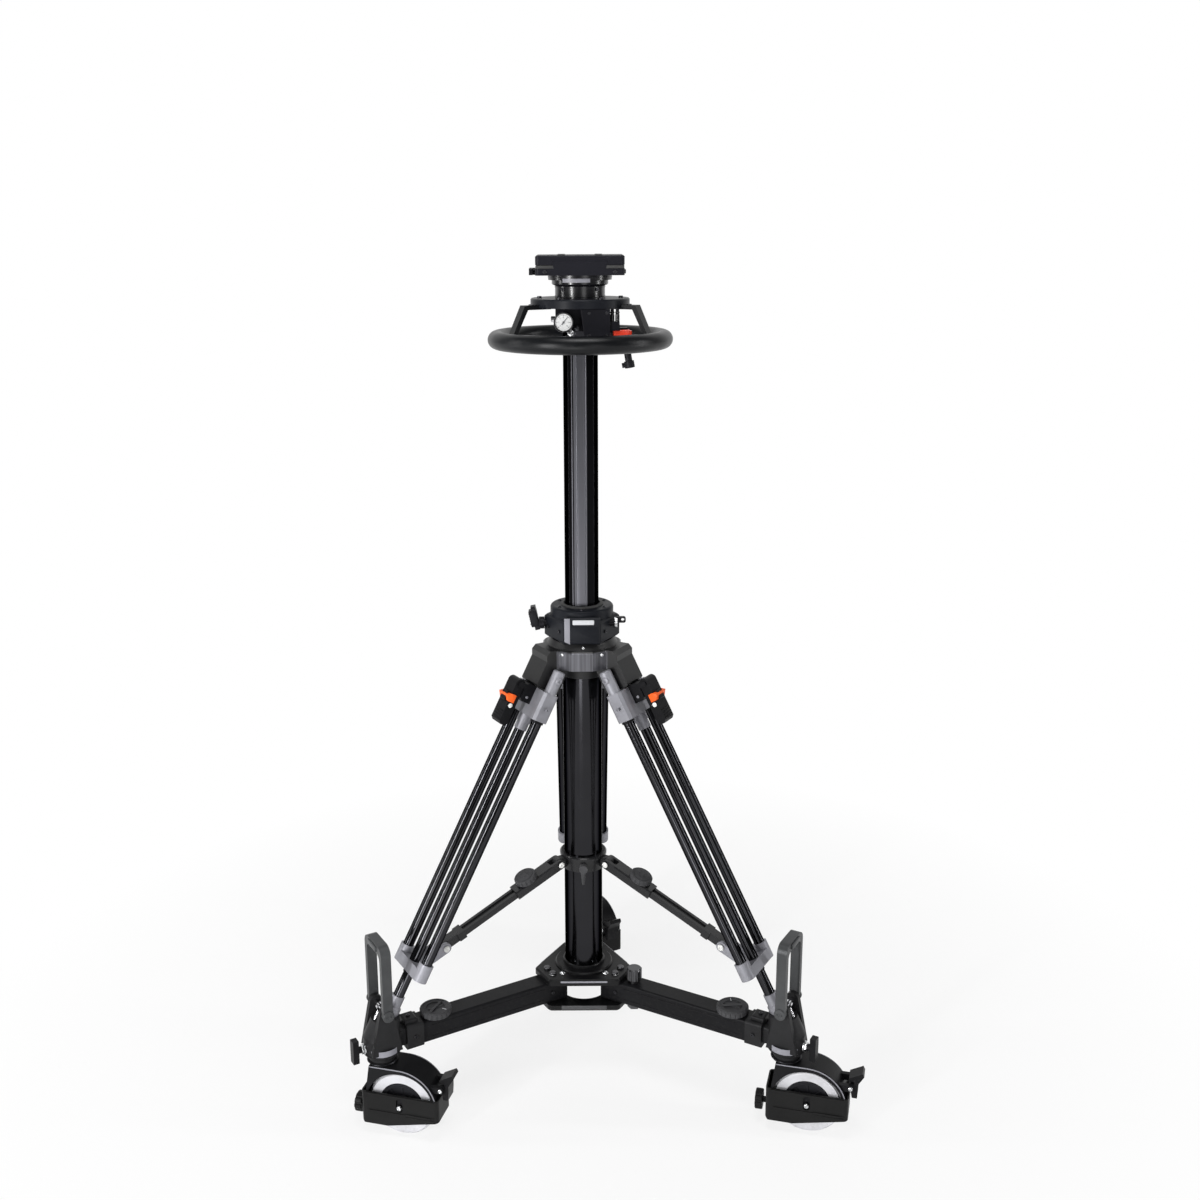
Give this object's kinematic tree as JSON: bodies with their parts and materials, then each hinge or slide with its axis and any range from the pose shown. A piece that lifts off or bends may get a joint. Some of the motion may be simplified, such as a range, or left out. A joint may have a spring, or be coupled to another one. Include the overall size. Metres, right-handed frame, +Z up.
{
  "type": "camera pedestal",
  "caption": "Pneumatic camera pedestal: lifting column with steering ring and head plates on a leaning tripod clamped into a rolling three-arm dolly.",
  "frame": {"origin": "on the floor, under the middle of the bounding box of the whole", "axes": "+Z up, -Y towards the front with the pressure gauge, +X to the right seen from the front"},
  "size_m": [0.7522, 0.6082, 1.2596],
  "materials": {
    "hub_paint": "satin",
    "bolt_steel": "satin",
    "arm_paint": "satin",
    "clamp_paint": "semi-matt",
    "loop_paint": "satin",
    "screw_black": "satin",
    "pin_steel": "bright",
    "column_black": "satin",
    "crown_paint": "satin",
    "head_paint": "satin",
    "bush_plastic": "matt",
    "casting_grey": "semi-matt",
    "tube_black": "satin",
    "lock_black": "matt",
    "spreader_black": "satin",
    "knob_plastic": "matt",
    "inner_dark": "satin",
    "piston_alu": "machined",
    "seal_rubber": "matt",
    "disc_paint": "satin",
    "ring_paint": "satin",
    "block_paint": "satin",
    "gauge_case": "gloss",
    "neck_black": "satin",
    "plate_black": "satin",
    "lever_metal": "satin",
    "release_red": "gloss",
    "valve_chrome": "bright",
    "caster_paint": "satin",
    "wheel_plastic": "matt",
    "tread_grey": "matt",
    "brake_steel": "satin",
    "guard_plastic": "matt"
  },
  "bodies": {
    "base": {"hub_top_plate": "hub_paint", "hub_bottom_plate": "hub_paint", "hub_bolts": "bolt_steel", "dolly_arms": "arm_paint", "foot_clamps": "clamp_paint", "clamp_screws": "screw_black", "pivot_pins": "pin_steel", "outer_column": "column_black", "crown": "crown_paint", "head_block": "head_paint", "head_cap": "head_paint", "guide_bush": "bush_plastic", "leg_top_castings": "casting_grey", "leg_tubes": "tube_black", "leg_brackets": "casting_grey", "leg_lock_housings": "lock_black", "leg_feet": "casting_grey", "spreader_hub": "spreader_black", "spreader_arms": "spreader_black", "spreader_screws": "knob_plastic"},
    "riser": {"inner_column": "inner_dark", "piston": "piston_alu", "piston_seal": "seal_rubber", "head_disc": "disc_paint", "steering_ring": "ring_paint", "control_block": "block_paint", "pressure_gauge": "gauge_case", "neck_adapter": "neck_black", "plate_base": "plate_black", "air_connector": "lever_metal"},
    "plate": {"camera_plate": "plate_black"},
    "plate_lock": {"plate_lock_lever": "lever_metal"},
    "release": {"release_lever": "release_red"},
    "inflation": {"inflation_knob": "valve_chrome"},
    "column_brake": {"column_brake_lever": "lever_metal"},
    "column_cam": {"column_cam_lever": "lever_metal"},
    "leg_lock_left": {"leg_lock_lever_left": "lock_black"},
    "clamp_left": {"clamp_loop_left": "loop_paint"},
    "knob_left": {"arm_knob_left": "knob_plastic"},
    "caster_left": {"caster_hood_left": "caster_paint"},
    "wheel_left": {"wheel_core_left": "wheel_plastic", "tread_left": "tread_grey"},
    "brake_left": {"brake_lever_left": "brake_steel"},
    "guard_left": {"cable_guard_left": "guard_plastic"},
    "leg_lock_right": {"leg_lock_lever_right": "lock_black"},
    "clamp_right": {"clamp_loop_right": "loop_paint"},
    "knob_right": {"arm_knob_right": "knob_plastic"},
    "caster_right": {"caster_hood_right": "caster_paint"},
    "wheel_right": {"wheel_core_right": "wheel_plastic", "tread_right": "tread_grey"},
    "brake_right": {"brake_lever_right": "brake_steel"},
    "guard_right": {"cable_guard_right": "guard_plastic"},
    "leg_lock_rear": {"leg_lock_lever_rear": "lock_black"},
    "clamp_rear": {"clamp_loop_rear": "loop_paint"},
    "knob_rear": {"arm_knob_rear": "knob_plastic"},
    "caster_rear": {"caster_hood_rear": "caster_paint"},
    "wheel_rear": {"wheel_core_rear": "wheel_plastic", "tread_rear": "tread_grey"},
    "brake_rear": {"brake_lever_rear": "brake_steel"},
    "guard_rear": {"cable_guard_rear": "guard_plastic"}
  },
  "joints": [
    {"name": "column_lift", "type": "slide", "parent": "base", "child": "riser", "axis": [0, 0, 1], "range_m": [-0.355, 0]},
    {"name": "plate_slide", "type": "slide", "parent": "riser", "child": "plate", "axis": [0, 1, 0], "range_m": [-0.03, 0.03]},
    {"name": "plate_lock_turn", "type": "hinge", "parent": "riser", "child": "plate_lock", "pos_m": [-0.09992, -0.08544, 1.2375], "axis": [1, 0, 0], "range_deg": [-30, 30]},
    {"name": "release_swing", "type": "hinge", "parent": "riser", "child": "release", "pos_m": [0.01508, -0.13344, 1.152], "axis": [0, 0, -1], "range_deg": [0, 30]},
    {"name": "inflation_turn", "type": "hinge", "parent": "riser", "child": "inflation", "pos_m": [-0.06792, -0.12544, 1.174], "axis": [-1, 0, 0], "continuous": true},
    {"name": "column_brake_turn", "type": "hinge", "parent": "base", "child": "column_brake", "pos_m": [-0.09392, -0.08544, 0.728], "axis": [1, 0, 0], "range_deg": [-35, 35]},
    {"name": "column_cam_turn", "type": "hinge", "parent": "base", "child": "column_cam", "pos_m": [0.01608, -0.10744, 0.734], "axis": [1, 0, 0], "range_deg": [-60, 60]},
    {"name": "leg_lock_swing_left", "type": "hinge", "parent": "base", "child": "leg_lock_left", "pos_m": [-0.12969, -0.14073, 0.65397], "axis": [-0.5, 0.866, 0], "range_deg": [0, 60]},
    {"name": "clamp_swing_left", "type": "hinge", "parent": "base", "child": "clamp_left", "pos_m": [-0.33096, -0.25694, 0.197], "axis": [0.5, -0.866, 0], "range_deg": [0, 100]},
    {"name": "knob_turn_left", "type": "hinge", "parent": "base", "child": "knob_left", "pos_m": [-0.25562, -0.21344, 0.165], "axis": [0, 0, 1], "continuous": true},
    {"name": "swivel_left", "type": "hinge", "parent": "base", "child": "caster_left", "pos_m": [-0.33096, -0.25694, 0.115], "axis": [0, 0, 1], "continuous": true},
    {"name": "wheel_roll_left", "type": "hinge", "parent": "caster_left", "child": "wheel_left", "pos_m": [-0.29812, -0.26574, 0.051], "axis": [0.2588, 0.9659, 0], "continuous": true},
    {"name": "brake_swing_left", "type": "hinge", "parent": "caster_left", "child": "brake_left", "pos_m": [-0.2392, -0.28152, 0.084], "axis": [-0.2588, -0.9659, 0], "range_deg": [0, 20]},
    {"name": "guard_slide_left", "type": "slide", "parent": "caster_left", "child": "guard_left", "axis": [0, 0, 1], "range_m": [-0.009, 0.002]},
    {"name": "leg_lock_swing_right", "type": "hinge", "parent": "base", "child": "leg_lock_right", "pos_m": [0.06186, -0.14073, 0.65397], "axis": [-0.5, -0.866, 0], "range_deg": [0, 60]},
    {"name": "clamp_swing_right", "type": "hinge", "parent": "base", "child": "clamp_right", "pos_m": [0.26313, -0.25694, 0.197], "axis": [0.5, 0.866, 0], "range_deg": [0, 100]},
    {"name": "knob_turn_right", "type": "hinge", "parent": "base", "child": "knob_right", "pos_m": [0.18779, -0.21344, 0.165], "axis": [0, 0, 1], "continuous": true},
    {"name": "swivel_right", "type": "hinge", "parent": "base", "child": "caster_right", "pos_m": [0.26313, -0.25694, 0.115], "axis": [0, 0, 1], "continuous": true},
    {"name": "wheel_roll_right", "type": "hinge", "parent": "caster_right", "child": "wheel_right", "pos_m": [0.29597, -0.26574, 0.051], "axis": [0.2588, 0.9659, 0], "continuous": true},
    {"name": "brake_swing_right", "type": "hinge", "parent": "caster_right", "child": "brake_right", "pos_m": [0.35489, -0.28152, 0.084], "axis": [-0.2588, -0.9659, 0], "range_deg": [0, 20]},
    {"name": "guard_slide_right", "type": "slide", "parent": "caster_right", "child": "guard_right", "axis": [0, 0, 1], "range_m": [-0.009, 0.002]},
    {"name": "leg_lock_swing_rear", "type": "hinge", "parent": "base", "child": "leg_lock_rear", "pos_m": [-0.03392, 0.02515, 0.65397], "axis": [1, 0, 0], "range_deg": [0, 60]},
    {"name": "clamp_swing_rear", "type": "hinge", "parent": "base", "child": "clamp_rear", "pos_m": [-0.03392, 0.25756, 0.197], "axis": [-1, 0, 0], "range_deg": [0, 100]},
    {"name": "knob_turn_rear", "type": "hinge", "parent": "base", "child": "knob_rear", "pos_m": [-0.03392, 0.17056, 0.165], "axis": [0, 0, 1], "continuous": true},
    {"name": "swivel_rear", "type": "hinge", "parent": "base", "child": "caster_rear", "pos_m": [-0.03392, 0.25756, 0.115], "axis": [0, 0, 1], "continuous": true},
    {"name": "wheel_roll_rear", "type": "hinge", "parent": "caster_rear", "child": "wheel_rear", "pos_m": [-0.01692, 0.22812, 0.051], "axis": [0.866, 0.5, 0], "continuous": true},
    {"name": "brake_swing_rear", "type": "hinge", "parent": "caster_rear", "child": "brake_rear", "pos_m": [0.01358, 0.17529, 0.084], "axis": [-0.866, -0.5, 0], "range_deg": [0, 20]},
    {"name": "guard_slide_rear", "type": "slide", "parent": "caster_rear", "child": "guard_rear", "axis": [0, 0, 1], "range_m": [-0.009, 0.002]}
  ]
}
